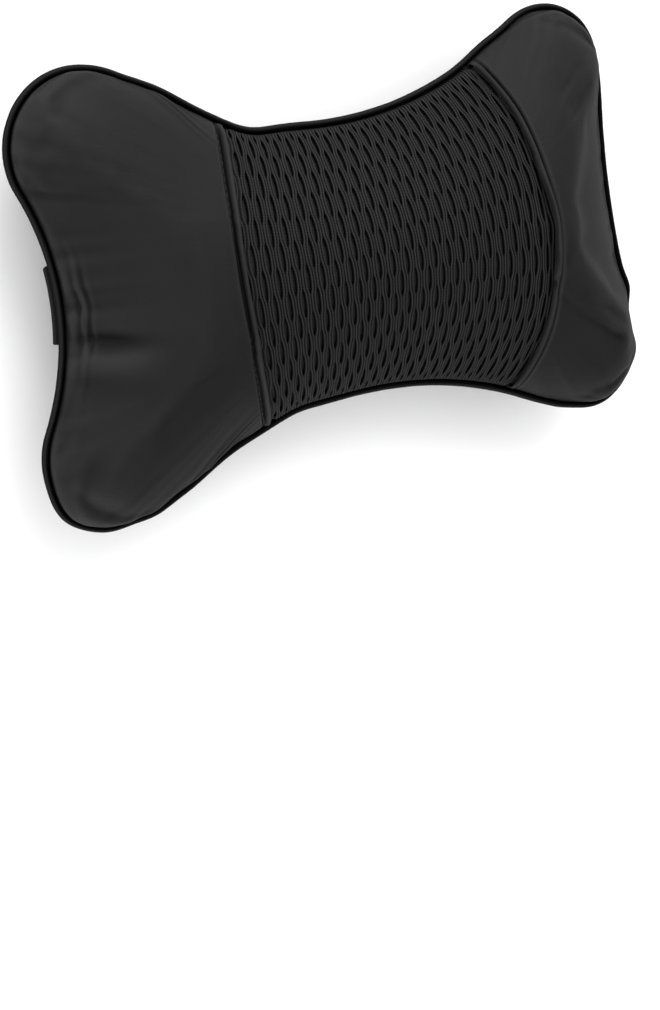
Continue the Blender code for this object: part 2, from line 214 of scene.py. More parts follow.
def lobe_circle(name, inset):
    """A corner lobe as centre x, centre y and radius, drawn in from the piping's outer edge."""
    side = RIGHT if "right" in name else LEFT
    height = 1 if "top" in name else -1
    right, up, larger = LOBE_DRIFT[name]
    x = side * (PILLOW_LENGTH / 2 - LOBE_RADIUS) + right
    y = height * (PILLOW_HEIGHT / 2 - LOBE_RADIUS) + up
    return x, y, LOBE_RADIUS + larger - inset


def hollow_circle(first, second, radius, inset):
    """The circle outside the pillow that touches two lobes, named counter-clockwise."""
    ax, ay, a_radius = lobe_circle(first, 0.0)
    bx, by, b_radius = lobe_circle(second, 0.0)
    gap = math.hypot(bx - ax, by - ay)
    along = ((radius + a_radius) ** 2 - (radius + b_radius) ** 2 + gap ** 2) / (2 * gap)
    out = math.sqrt((radius + a_radius) ** 2 - along ** 2)
    step_x, step_y = (bx - ax) / gap, (by - ay) / gap
    return ax + step_x * along + step_y * out, ay + step_y * along - step_x * out, radius + inset


def waist_hollow(height, inset):
    if height > 0:
        return hollow_circle("top_right", "top_left", TOP_HOLLOW_RADIUS, inset)
    return hollow_circle("bottom_left", "bottom_right", BOTTOM_HOLLOW_RADIUS, inset)


def end_hollow(side, inset):
    if side == LEFT:
        return hollow_circle("top_left", "bottom_left", LEFT_HOLLOW_RADIUS, inset)
    return hollow_circle("bottom_right", "top_right", RIGHT_HOLLOW_RADIUS, inset)


def waist_y(x, height, inset):
    """Height of the upper (1) or lower (-1) edge of the waist at x."""
    cx, cy, radius = waist_hollow(height, inset)
    return cy - height * np.sqrt(radius ** 2 - (x - cx) ** 2)


def end_x(y, side, inset):
    """Place of the left or right end of the outline at y, between its two lobes."""
    cx, cy, radius = end_hollow(side, inset)
    return cx - side * np.sqrt(radius ** 2 - (y - cy) ** 2)


def short_arc(circle, start, end, cells=0):
    """Points on a circle from the bearing of one place to that of another, by default a fine step apart."""
    cx, cy, radius = circle
    first = math.atan2(start[1] - cy, start[0] - cx)
    turn = (math.atan2(end[1] - cy, end[0] - cx) - first + math.pi) % math.tau - math.pi
    cells = cells or max(2, round(abs(turn) * radius / FINE_STEP))
    bearings = first + turn * np.arange(cells) / cells
    return np.column_stack([cx + radius * np.cos(bearings), cy + radius * np.sin(bearings)])


def stepped(stops):
    """Values about a fine step apart that pass through each stop."""
    runs = [np.linspace(a, b, max(2, round(abs(b - a) / FINE_STEP)) + 1)[:-1]
            for a, b in zip(stops, stops[1:])]
    return np.array([*np.concatenate(runs), stops[-1]])


BAND_LEVELS = stepped(BAND_STOPS)


# Seams between the leather end panels and the middle panel

def seam_end(side, height, inset):
    x = PANEL_SHIFT - height * SEAM_LEAN + side * PANEL_WIDTH / 2
    return x, waist_y(x, height, inset)


def seam_x(y, side, inset, clear=0.0):
    """The seam's place at y; clear moves it outwards from the middle."""
    low, high = seam_end(side, -1, inset), seam_end(side, 1, inset)
    share = (y - low[1]) / (high[1] - low[1])
    return low[0] + (high[0] - low[0]) * share + side * (SEAM_BULGE * 4 * share * (1 - share) + clear)


def cap_border(side, inset):
    """The outline of a leather end, from the seam's lower end round both lobes to its upper end."""
    names = ("bottom_left", "top_left") if side == LEFT else ("bottom_right", "top_right")
    low_lobe, high_lobe = (lobe_circle(name, inset) for name in names)
    low_waist, high_waist = waist_hollow(-1, inset), waist_hollow(1, inset)
    hollow = end_hollow(side, inset)
    band = np.column_stack([end_x(BAND_LEVELS, side, inset), BAND_LEVELS])
    low_end, high_end = seam_end(side, -1, inset), seam_end(side, 1, inset)
    below = np.concatenate([short_arc(low_waist, low_end, low_lobe, WAIST_CELLS),
                            short_arc(low_lobe, low_waist, hollow, LOBE_CELLS),
                            short_arc(hollow, low_lobe, band[0], END_CELLS)])
    above = np.concatenate([short_arc(hollow, band[-1], high_lobe, END_CELLS),
                            short_arc(high_lobe, hollow, high_waist, LOBE_CELLS),
                            short_arc(high_waist, high_lobe, high_end, WAIST_CELLS), [high_end]])
    return below, band, above


def spread_levels(low, high):
    """Heights of the rows between a lower and an upper edge, through the levels of the strap."""
    cells = WAIST_CELLS + LOBE_CELLS + END_CELLS
    return np.concatenate([np.linspace(low, BAND_LEVELS[0], cells + 1)[:-1], BAND_LEVELS[:-1],
                           np.linspace(BAND_LEVELS[-1], high, cells + 1)])


def cap_plan(side, inset, rings, clear=0.0):
    """Plan grid of a leather end: lines ruled from the outline to the seam, closer near the outline."""
    below, band, above = cap_border(side, inset)
    low, high = seam_end(side, -1, inset)[1], seam_end(side, 1, inset)[1]
    levels = spread_levels(low, high)
    border = np.concatenate([below, band[:-1], above])
    seam = np.column_stack([seam_x(levels, side, inset, clear), levels])
    even = np.arange(rings + 1) / rings
    shares = even ** RING_EASE / (even ** RING_EASE + (1.0 - even) ** SEAM_EASE)
    return border[None] + (seam - border)[None] * shares[:, None, None]


def centre_x(u, y, inset, clear=0.0):
    return (1 - u) * seam_x(y, LEFT, inset, clear) + u * seam_x(y, RIGHT, inset, clear)


def centre_edge_y(u, height, inset, clear=0.0):
    """Height of the waist's edge on the column that lies at share u between the two seams."""
    y = np.full(np.shape(u), seam_end(LEFT, height, inset)[1])
    for _ in range(12):
        y = waist_y(centre_x(u, y, inset, clear), height, inset)
    return y


def centre_plan(u, v, inset, clear=0.0):
    """Plan points of the middle panel, u from the left seam to the right and v from below to above."""
    low, high = centre_edge_y(u, -1, inset, clear), centre_edge_y(u, 1, inset, clear)
    y = low + (high - low) * v
    return np.stack([centre_x(u, y, inset, clear), y], axis=-1)


def centre_band_plan(inset, columns):
    """Plan grid of the middle that shares its rows with the leather ends beside it."""
    u = np.linspace(0.0, 1.0, columns + 1)
    low, high = centre_edge_y(u, -1, inset), centre_edge_y(u, 1, inset)
    rows = [(share, spread_levels(low[k], high[k])) for k, share in enumerate(u)]
    return np.array([np.column_stack([centre_x(share, y, inset), y]) for share, y in rows])


def outline(inset):
    """The whole outline as one closed run of points, counter-clockwise, and evenly fine."""
    corners = [("bottom_left", "bottom_right"), ("bottom_right", "top_right"),
               ("top_right", "top_left"), ("top_left", "bottom_left")]
    hollows = [waist_hollow(-1, inset), end_hollow(RIGHT, inset),
               waist_hollow(1, inset), end_hollow(LEFT, inset)]
    run = []
    for k, (first, second) in enumerate(corners):
        run.append(short_arc(hollows[k], lobe_circle(first, inset), lobe_circle(second, inset)))
        run.append(short_arc(lobe_circle(second, inset), hollows[k], hollows[(k + 1) % 4]))
    return np.concatenate(run)


# Profiles

def length_along(points):
    """Length from the first of a line of points to each of them."""
    return np.concatenate([[0.0], np.cumsum(np.linalg.norm(np.diff(points, axis=0), axis=1))])


def rise(distance, width):
    """Grows from 0 at no distance to 1 over a width."""
    return 1.0 - np.exp(-distance / width)


def swell(distance, width):
    """A soft bump, 1 at no distance and fading over a width."""
    return np.exp(-(distance / width) ** 2)


# Stuffed form: the skins rise from the outline as a membrane pushed out by the filling

def depth_inside(plan, border):
    """A smooth depth inside the outline, equal to the true distance close to a straight edge."""
    run = np.roll(border, -1, axis=0) - border
    length = np.linalg.norm(run, axis=1)
    unit = run / length[:, None]
    flat = plan.reshape(-1, 2)
    total = np.zeros(len(flat))
    for start, step, reach in zip(border, unit, length):
        from_start = flat - start
        along = from_start @ step
        off_line = np.maximum((from_start ** 2).sum(-1) - along ** 2, 1e-13)
        ahead = reach - along
        total += (ahead / np.sqrt(off_line + ahead ** 2) + along / np.sqrt(off_line + along ** 2)) / off_line
    return np.sqrt(2.0 / np.abs(total)).reshape(plan.shape[:-1])


# The outline in short chords, and how far inside its arcs they cut
PANEL_BORDER = outline(PANEL_INSET)[::2]
BORDER_SAG = 0.00005
LENGTHWISE = np.column_stack([np.linspace(-PILLOW_LENGTH / 3, PILLOW_LENGTH / 3, 41), np.zeros(41)])
FULL_DEPTH = depth_inside(LENGTHWISE, PANEL_BORDER).max()


def rest_limit(y):
    """Depth at which the back lies flat: less under the strap, which sinks flush into the back."""
    ease = np.clip((np.abs(y - STRAP_Y) - CHANNEL_HALF) / STRAP_CHANNEL_WALL, 0.0, 1.0)
    return REST_DEPTH - STRAP_SINK * (1.0 - ease * ease * (3.0 - 2.0 * ease))


def skin_height(plan, face):
    """Height of the front skin, or depth of the back skin, beyond the piping's plane."""
    share = np.maximum(depth_inside(plan, PANEL_BORDER) - BORDER_SAG, 0.0) / FULL_DEPTH
    crown = FRONT_CROWN if face == FRONT else BACK_CROWN
    height = EDGE_LIFT + crown * share ** EDGE_FULLNESS
    if face == FRONT:
        return height
    limit = rest_limit(plan[..., 1])
    short_of_flat = np.clip(limit + REST_ROUNDING - height, 0.0, 2 * REST_ROUNDING)
    return np.where(height > limit - REST_ROUNDING, limit - short_of_flat ** 2 / (4 * REST_ROUNDING), height)


def skin_points(plan, face):
    """Points of a skin, drawn in at its edge so that front and back meet behind the piping."""
    inside = depth_inside(plan, PANEL_BORDER)
    tuck = (EDGE_LIFT - CLEARANCE / 2) * np.exp(-inside / EDGE_TUCK_WIDTH)
    return np.dstack([plan, face * (skin_height(plan, face) - tuck)])


def grid_normal(points, face):
    """Unit normals of a grid of points, out of the front or out of the back."""
    normal = np.cross(np.gradient(points, axis=0), np.gradient(points, axis=1))
    normal /= np.linalg.norm(normal, axis=-1, keepdims=True)
    return normal if normal[..., 2].sum() * face > 0 else -normal


def slope_normal(plan, face):
    """Unit normals of a skin from its slope, the same in every grid that shares a point."""
    step = 0.00005
    slopes = [(skin_height(plan + aside, face) - skin_height(plan - aside, face)) / (2 * step)
              for aside in (np.array([step, 0.0]), np.array([0.0, step]))]
    normal = np.dstack([-slopes[0], -slopes[1], np.full(slopes[0].shape, face)])
    return normal / np.linalg.norm(normal, axis=-1, keepdims=True)


def edge_roll(plan, inside):
    """How far the filling pushes a skin out over the piping, less at the right end."""
    turn = 1.0 + np.exp((ROLL_TURN - plan[..., 0]) / ROLL_TURN_WIDTH)
    most = ROLL_OUT + (ROLL_OUT_RIGHT - ROLL_OUT) / turn
    return most * rise(inside, EDGE_EASE) * np.exp(-inside / ROLL_WIDTH)


# Cloth simulation of the front cover

def cloth_taps(place, count):
    """The four coarse points round each fractional place, with their smooth weights."""
    low = np.floor(place).astype(int)
    part = place - low
    weights = ((1 - part) ** 3, 3 * part ** 3 - 6 * part ** 2 + 4,
               -3 * part ** 3 + 3 * part ** 2 + 3 * part + 1, part ** 3)
    return [(np.clip(low + k - 1, 0, count - 1), weight / 6) for k, weight in enumerate(weights)]


def between(values, a, b):
    """Smooth values between the points of a coarse grid, at fractional row a and column b."""
    rows, columns = cloth_taps(a, values.shape[0]), cloth_taps(b, values.shape[1])
    return sum((p * q)[..., None] * values[i, j] for i, p in rows for j, q in columns)


def grid_quads(index):
    """Faces of a grid of point numbers."""
    return np.stack([index[:-1, :-1], index[:-1, 1:], index[1:, 1:], index[1:, :-1]], axis=-1).reshape(-1, 4)


def cover_sheet(plans):
    """The cover's panels as one sheet: points, faces, held points, and each grid point's number in it."""
    places, quads, held, start = [], [], [], 0
    for k, plan in enumerate(plans):
        rows, columns = plan.shape[:2]
        index = start + np.arange(rows * columns).reshape(rows, columns)
        quads += grid_quads(index).tolist()
        held += [*index[:, 0], *index[:, -1]] if k == 1 else [*index[0], *index[:, 0], *index[:, -1]]
        places.append(skin_points(plan, FRONT).reshape(-1, 3))
        start += rows * columns
    places = np.concatenate(places)
    _, first, merged = np.unique(np.round(places * 1e5), axis=0, return_index=True, return_inverse=True)
    merged = merged.ravel()
    faces = [list(dict.fromkeys(merged[quad].tolist())) for quad in quads]
    held = sorted({int(merged[k]) for k in held})
    return places[first], [face for face in faces if len(face) > 2], held, merged


def cloth_object(points, faces, held):
    """The sheet as cloth, held at the piping and pushed out by the filling."""
    mesh = bpy.data.meshes.new("cover_cloth")
    mesh.from_pydata(points.tolist(), [], faces)
    cover = add_object("cover_cloth", mesh)
    cover.vertex_groups.new(name="held").add(held, 1.0, "REPLACE")
    cloth = cover.modifiers.new("Cloth", "CLOTH")
    cloth.collision_settings.use_collision = False
    settings = cloth.settings
    settings.quality = 6
    settings.mass = 0.15
    settings.tension_stiffness = settings.compression_stiffness = 25.0
    settings.shear_stiffness = 12.0
    settings.bending_stiffness = 0.15
    settings.vertex_group_mass = "held"
    settings.shrink_min = -CLOTH_SPARE
    settings.use_pressure = True
    settings.uniform_pressure_force = CLOTH_PRESSURE
    settings.effector_weights.gravity = 0.0
    return cover


def simulate_cover():
    """Blows up the front cover as one cloth; gives the moves of its coarse points, panel by panel.

    The sheet is cut a little larger than the form. Free cloth blows up further than the stuffed form allows,
    so each move keeps its direction and its length is limited.
    """
    plans = [cap_plan(LEFT, PANEL_INSET, FRONT_RINGS), centre_band_plan(PANEL_INSET, CENTRE_COLUMNS),
             cap_plan(RIGHT, PANEL_INSET, FRONT_RINGS)]
    plans = [plan[::CLOTH_STEP, ::CLOTH_STEP] for plan in plans]
    points, faces, held, merged = cover_sheet(plans)
    cover = cloth_object(points, faces, held)
    scene = bpy.context.scene
    for frame_number in range(1, CLOTH_FRAMES + 1):
        scene.frame_set(frame_number)
    shaped = cover.evaluated_get(bpy.context.evaluated_depsgraph_get()).to_mesh()
    settled = np.zeros(len(points) * 3)
    shaped.vertices.foreach_get("co", settled)
    scene.frame_set(1)
    mesh = cover.data
    bpy.data.objects.remove(cover)
    bpy.data.meshes.remove(mesh)
    moves = settled.reshape(-1, 3) - points
    length = np.linalg.norm(moves, axis=1, keepdims=True)
    moves *= CLOTH_LIMIT * np.tanh(length / CLOTH_LIMIT) / np.maximum(length, 1e-9)
    counts = [plan.shape[0] * plan.shape[1] for plan in plans]
    parts = np.split(moves[merged], np.cumsum(counts)[:-1])
    return [part.reshape(*plan.shape[:2], 3) for part, plan in zip(parts, plans)]


def end_moves(moves, plan, inside):
    """The cover's moves on the fine grid of a leather end."""
    a, b = np.meshgrid(*(np.arange(count) / CLOTH_STEP for count in plan.shape[:2]), indexing="ij")
    return between(moves, a, b) * rise(inside, MOVE_EASE)[..., None]


def even_rows(moves):
    """The middle panel's moves on rows at even shares of its height."""
    edge_shares = np.linspace(0.0, 1.0, moves.shape[0])
    low, high = (centre_edge_y(edge_shares, height, PANEL_INSET) for height in (-1, 1))
    even = np.linspace(0.0, 1.0, 2 * moves.shape[1])
    evened = np.empty((moves.shape[0], len(even), 3))
    for k in range(moves.shape[0]):
        rows = (spread_levels(low[k], high[k])[::CLOTH_STEP] - low[k]) / (high[k] - low[k])
        for axis in range(3):
            evened[k, :, axis] = np.interp(even, rows, moves[k, :, axis])
    return evened


def middle_moves(evened, u, v, inside):
    """The cover's moves at shares u and v of the middle panel."""
    moves = between(evened, u * (evened.shape[0] - 1), v * (evened.shape[1] - 1))
    return moves * rise(inside, MOVE_EASE)[..., None]


def outline_centre():
    """Middle of the outline's extent, which lies over the frame's origin."""
    circles = [lobe_circle(name, 0.0) for name in LOBE_DRIFT]
    return [(min(c[k] - c[2] for c in circles) + max(c[k] + c[2] for c in circles)) / 2 for k in (0, 1)]


PLACE = np.array([-outline_centre()[0], -outline_centre()[1], REST_DEPTH])


# Smooth unevenness

def wavering(places, spacing, seed):
    """A smooth random value from -1 to 1 along a line of places, with a bump about every spacing."""
    knots = np.random.RandomState(seed).uniform(-1.0, 1.0, 4096)
    spot = places / spacing + 2048.0
    low = np.floor(spot).astype(int)
    part = spot - low
    ease = part * part * (3.0 - 2.0 * part)
    return knots[low % 4096] * (1.0 - ease) + knots[(low + 1) % 4096] * ease


def sewn(points):
    """Shifts points by the uneven pulls of the sewing."""
    moved = points.copy()
    for x, y, right, up, reach in SEWING_PULLS:
        share = np.exp(-((points[..., 0] - x) ** 2 + (points[..., 1] - y) ** 2) / reach ** 2)
        moved[..., 0] += right * share
        moved[..., 1] += up * share
    return moved


# Meshes

def add_object(name, data):
    thing = bpy.data.objects.new(name, data)
    bpy.context.scene.collection.objects.link(thing)
    return thing


def mesh_piece(name, grids, material, nodes, closed=False):
    """One piece from point grids, each a (points, uv) pair."""
    vertices, faces, uvs, start = [], [], [], 0
    for points, uv in grids:
        rows, columns = points.shape[:2]
        index = start + np.arange(rows * columns).reshape(rows, columns)
        if closed:
            index = np.column_stack([index, index[:, 0]])
        vertices.append(sewn(points).reshape(-1, 3) + PLACE)
        faces.append(grid_quads(index))
        uvs.append(uv.reshape(-1, 2))
        start += rows * columns
    mesh = bpy.data.meshes.new(name)
    mesh.from_pydata(np.concatenate(vertices).tolist(), [], np.concatenate(faces).tolist())
    layer = mesh.uv_layers.new(name="UVMap")
    corner = np.zeros(len(mesh.loops), int)
    mesh.loops.foreach_get("vertex_index", corner)
    layer.data.foreach_set("uv", np.concatenate(uvs)[corner].ravel())
    mesh.polygons.foreach_set("use_smooth", [True] * len(mesh.polygons))
    piece = add_object(name, mesh)
    mesh.materials.append(material)
    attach(piece, "root")
    if nodes:
        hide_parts(*nodes)
    return piece


def weld(piece, face):
    """Joins the grids of a sheet and turns its faces out of the front or out of the back."""
    bm = bmesh.new()
    bm.from_mesh(piece.data)
    bmesh.ops.remove_doubles(bm, verts=bm.verts, dist=2e-6)
    bmesh.ops.recalc_face_normals(bm, faces=bm.faces)
    bm.normal_update()
    if sum(f.normal.z * f.calc_area() for f in bm.faces) * face < 0:
        bmesh.ops.reverse_faces(bm, faces=bm.faces)
    bm.to_mesh(piece.data)
    bm.free()


def thicken(piece, thickness, outwards=False):
    solidify = piece.modifiers.new("Thickness", "SOLIDIFY")
    solidify.thickness = thickness
    solidify.offset = 1.0 if outwards else -1.0


# Materials

class Nodes:
    """A material's node tree, with short calls for the nodes that the finishes share."""

    def __init__(self, name):
        self.material = bpy.data.materials.new(name)
        self.material.use_nodes = True
        self.tree = self.material.node_tree
        self.shader = self.tree.nodes["Principled BSDF"]

    def put(self, socket, value):
        """Links an input to another node's output, or sets it."""
        if isinstance(value, bpy.types.NodeSocket):
            self.tree.links.new(value, socket)
        else:
            socket.default_value = value

    def add(self, kind, settings=(), **inputs):
        node = self.tree.nodes.new(kind)
        for key, value in dict(settings).items():
            setattr(node, key, value)
        for key, value in inputs.items():
            self.put(node.inputs[key.replace("_", " ")], value)
        return node

    def texture_place(self, kind):
        return self.add("ShaderNodeTexCoord").outputs[kind]

    def scaled(self, source, scale):
        return self.add("ShaderNodeMapping", Vector=source, Scale=scale).outputs["Vector"]

    def math(self, operation, *values):
        node = self.add("ShaderNodeMath", {"operation": operation})
        for socket, value in zip(node.inputs, values):
            self.put(socket, value)
        return node.outputs[0]

    def spread(self, value, low, high, start=0.0, end=1.0, **settings):
        """Maps a value from one range to another."""
        return self.add("ShaderNodeMapRange", settings, Value=value, From_Min=start, From_Max=end, To_Min=low,
                        To_Max=high).outputs["Result"]

    def bump(self, height, strength, distance, under=None):
        node = self.add("ShaderNodeBump", Height=height, Strength=strength, Distance=distance)
        if under is not None:
            self.put(node.inputs["Normal"], under)
        return node.outputs["Normal"]

    def mix(self, share, first, second, blend="MIX"):
        node = self.add("ShaderNodeMix", {"data_type": "RGBA", "blend_type": blend})
        for socket, value in ((0, share), (6, first), (7, second)):
            self.put(node.inputs[socket], value)
        return node.outputs[2]

    def tint(self, value, dark, light):
        return self.mix(value, (*dark, 1.0), (*light, 1.0))

    def painted_relief_shading(self, colour, reach):
        """Painted light and shade: lighter on crests and darker in creases, from the surface's pointiness."""
        bend = self.add("ShaderNodeNewGeometry").outputs["Pointiness"]
        return self.mix(1.0, colour, self.spread(bend, 0.1, 1.9, 0.5 - reach, 0.5 + reach), "MULTIPLY")

    def finish(self, colour, roughness, normal, specular=0.5):
        for key, value in (("Base Color", colour), ("Roughness", roughness), ("Normal", normal),
                           ("Specular IOR Level", specular)):
            self.put(self.shader.inputs[key], value)
        return self.material


def leather_material(name, dark, light, rough_low, rough_high):
    """Grained leather-look: pebbles with fine creases between them, less gloss seen edge-on, and painted
    highlights on crests and painted shade in creases.
    """
    n = Nodes(name)
    place = n.texture_place("Object")
    mottle = n.add("ShaderNodeTexNoise", Vector=place, Scale=38.0, Detail=4.0, Roughness=0.55).outputs["Fac"]
    warp = n.add("ShaderNodeTexNoise", Vector=place, Scale=900.0, Detail=2.0).outputs["Fac"]
    pebbles = n.add("ShaderNodeTexVoronoi", {"feature": "SMOOTH_F1"}, Vector=place, Scale=1350.0,
                    Smoothness=0.45).outputs["Distance"]
    creases = n.add("ShaderNodeTexVoronoi", {"feature": "DISTANCE_TO_EDGE"}, Vector=place, Scale=620.0)
    crease = n.spread(creases.outputs["Distance"], 0.0, 1.0, 0.0, 0.16, interpolation_type="SMOOTHSTEP")
    normal = n.bump(crease, 0.12, 0.0002, n.bump(pebbles, 0.22, 0.0003, n.bump(warp, 0.10, 0.0003)))
    gloss = n.spread(n.add("ShaderNodeLayerWeight").outputs["Facing"], 0.12, 0.02, 0.45, 0.9)
    # The mottled tone gets painted highlights on crests and painted shade in creases, from pointiness.
    return n.finish(n.painted_relief_shading(n.tint(mottle, dark, light), 0.02), n.spread(mottle, rough_low, rough_high),
                    normal, gloss)


def woven_material():
    """Yarns that run along each strand, with a fine twist, and painted highlights on the ridges and painted
    shade in the grooves.
    """
    n = Nodes("black_woven_yarn")
    uv = n.texture_place("UV")
    twist = n.add("ShaderNodeTexWave", {"bands_direction": "DIAGONAL"}, Vector=uv, Scale=520.0,
                  Distortion=1.2, Detail=1.0).outputs["Fac"]
    fibres = n.add("ShaderNodeTexNoise", Vector=n.scaled(uv, (2600.0, 500.0, 1.0)), Scale=1.0,
                   Detail=3.0).outputs["Fac"]
    normal = n.bump(twist, 0.35, 0.00025, n.bump(fibres, 0.25, 0.0002))
    # Painted light and shade: bands that are light on each strand's two ridges and dark in the grooves
    # between them.
    ridges = n.add("ShaderNodeTexWave", {"bands_direction": "X"}, Vector=uv, Scale=RIDGE_WAVE).outputs["Fac"]
    yarn_with_painted_ridge_light = n.math("POWER", n.math("MULTIPLY_ADD", twist, 0.3, ridges), 2.5)
    return n.finish(n.tint(yarn_with_painted_ridge_light, (0.0003, 0.0003, 0.0003), (0.0200, 0.0200, 0.0205)),
                    n.spread(fibres, 0.5, 0.7), normal, 0.09)


def cloth_material(name, dark, light, threads):
    """Plain woven cloth."""
    n = Nodes(name)
    place = n.texture_place("Object")
    across, along = (n.add("ShaderNodeTexWave", {"bands_direction": way}, Vector=place, Scale=threads)
                     for way in ("X", "Y"))
    both = n.math("MULTIPLY", across.outputs["Fac"], along.outputs["Fac"])
    lint = n.add("ShaderNodeTexNoise", Vector=place, Scale=1200.0, Detail=3.0).outputs["Fac"]
    normal = n.bump(lint, 0.2, 0.0002, n.bump(both, 0.4, 0.0002))
    return n.finish(n.tint(both, dark, light), n.spread(lint, 0.8, 0.95), normal)


def elastic_material():
    """Knitted elastic: cross picks over lengthwise ribs."""
    n = Nodes("black_ribbed_elastic")
    uv = n.texture_place("UV")
    picks = n.add("ShaderNodeTexWave", {"bands_direction": "Y"}, Vector=uv, Scale=320.0, Distortion=0.6,
                  Detail=1.0).outputs["Fac"]
    lint = n.add("ShaderNodeTexNoise", Vector=n.scaled(uv, (1500.0, 700.0, 1.0)), Scale=1.0).outputs["Fac"]
    normal = n.bump(picks, 0.5, 0.0003, n.bump(lint, 0.2, 0.0002))
    return n.finish(n.tint(picks, (0.0015, 0.0015, 0.0015), (0.006, 0.006, 0.006)),
                    n.spread(lint, 0.65, 0.85), normal, 0.08)


def piping_material():
    """Leather-look cover over a cord, with small cross wrinkles and a painted highlight along the top of the
    cord.
    """
    n = Nodes("black_piping_cover")
    uv = n.texture_place("UV")
    wrinkle = n.add("ShaderNodeTexNoise", Vector=n.scaled(uv, (420.0, 90.0, 1.0)), Scale=1.0, Detail=4.0,
                    Roughness=0.6).outputs["Fac"]
    pebbles = n.add("ShaderNodeTexVoronoi", {"feature": "SMOOTH_F1"}, Vector=n.texture_place("Object"),
                    Scale=1500.0).outputs["Distance"]
    normal = n.bump(pebbles, 0.2, 0.0002, n.bump(wrinkle, 0.5, 0.0006))
    # Painted highlight: a narrow lighter band round the cover, placed by the wave's phase.
    round_way = n.add("ShaderNodeTexWave", {"bands_direction": "Y"}, Vector=uv, Scale=PIPING_HIGHLIGHT_WAVE,
                      Phase_Offset=PIPING_HIGHLIGHT_PHASE).outputs["Fac"]
    painted_highlight_band = n.math("POWER", round_way, 14.0)
    return n.finish(n.tint(painted_highlight_band, (0.0003, 0.0003, 0.0003), (0.012, 0.012, 0.012)),
                    n.spread(wrinkle, 0.5, 0.65), normal, 0.03)


def thread_material():
    """Twisted sewing thread."""
    n = Nodes("black_thread")
    twist = n.add("ShaderNodeTexWave", {"bands_direction": "DIAGONAL"}, Scale=1.0,
                  Vector=n.scaled(n.texture_place("UV"), (3.0, 3.0, 1.0))).outputs["Fac"]
    return n.finish(n.tint(twist, (0.006, 0.006, 0.006), (0.018, 0.018, 0.018)), n.spread(twist, 0.45, 0.6),
                    n.bump(twist, 0.6, 0.0002))


def floor_material():
    n = Nodes("pale_floor")
    place = n.texture_place("Object")
    clouds = n.add("ShaderNodeTexNoise", Vector=place, Scale=3.0, Detail=3.0).outputs["Fac"]
    return n.finish(n.tint(clouds, (0.93, 0.93, 0.93), (0.96, 0.96, 0.96)), n.spread(clouds, 0.7, 0.8),
                    n.bump(clouds, 0.05, 0.001))


# Leather ends

def seam_lip(from_seam):
    """The folded leather edge beside the woven middle: a raised strip, then the stitched groove."""
    strip = LIP_HEIGHT * rise(from_seam, 0.0004) / (1.0 + np.exp((from_seam - LIP_WIDTH) / 0.0002))
    groove = GROOVE_DEPTH * swell(from_seam - STITCH_LINE, GROOVE_WIDTH)
    return strip - groove - 0.0003 * np.exp(-from_seam / 0.0003)


def edge_puckers(run, inside, seed):
    """Small gathers that run in from the piping seam and fade with depth."""
    fade = rise(inside, PUCKER_EASE) * np.exp(-inside / PUCKER_REACH)
    strength = 0.35 + 0.65 * np.clip(wavering(run, 0.045, seed), 0.0, 1.0)
    wave = 0.7 * wavering(run, 0.0042, seed + 1) + 0.5 * wavering(run, 0.009, seed + 2)
    return PUCKER_HEIGHT * strength * wave * fade


def soft_unevenness(plan, seed):
    """Slow swells of the filling under the skin."""
    x, y = plan[..., 0], plan[..., 1]
    turns = np.random.RandomState(seed).uniform(0.0, math.tau, 8)
    total = np.zeros(x.shape)
    for k, turn in enumerate(turns):
        direction = math.cos(turn) * x + math.sin(turn) * y
        total += np.sin(direction * math.tau / (SWELL_LENGTH + 0.006 * k) + 3.0 * turn)
    return SWELL_HEIGHT * total / 2.0


def strap_pull(plan, inside):
    """The strap's sewn end draws in the left end: a valley under it, a swell beside it, and small folds."""
    x, y = plan[..., 0], plan[..., 1]
    into = x - STRAP_END_X
    valley_y = -0.0105 - 0.12 * into
    valley = -VALLEY_DEPTH * swell(y - valley_y, 0.0045) * swell(into - 0.012, 0.014)
    shoulder = SHOULDER_HEIGHT * swell(y - valley_y + 0.0095, 0.0065) * swell(into - 0.017, 0.013)
    turns = inside * math.tau / FOLD_PITCH + 0.9 * wavering(y, 0.011, 61)
    folds = FOLD_HEIGHT * np.sin(turns) * swell(inside - 0.0036, 0.0022)
    return valley + shoulder + folds * swell(y + 0.001, 0.017)


def leather_end(name, side, material, node, seed, moves):
    plan = cap_plan(side, PANEL_INSET, FRONT_RINGS, CLEARANCE)
    inside = depth_inside(plan, PANEL_BORDER)
    run = length_along(plan[0])
    from_seam = np.abs(plan[..., 0] - seam_x(plan[..., 1], side, PANEL_INSET, CLEARANCE))
    relief = edge_roll(plan, inside)
    relief += edge_puckers(run[None], inside, seed) * rise(from_seam, PUCKER_SEAM_EASE)
    relief += seam_lip(from_seam) * rise(inside, 0.002)
    relief += soft_unevenness(plan, seed) * rise(inside, SWELL_EASE) * rise(from_seam, SWELL_EASE)
    if side == LEFT:
        relief += strap_pull(plan, inside) * rise(inside, EDGE_EASE)
    skin = skin_points(plan, FRONT)
    points = skin + grid_normal(skin, FRONT) * relief[..., None] + end_moves(moves, plan, inside)
    uv = np.stack(np.broadcast_arrays(run[None], inside), axis=-1)
    piece = mesh_piece(name, [(points, uv)], material, [node])
    weld(piece, FRONT)
    thicken(piece, LEATHER_THICKNESS)
    return piece


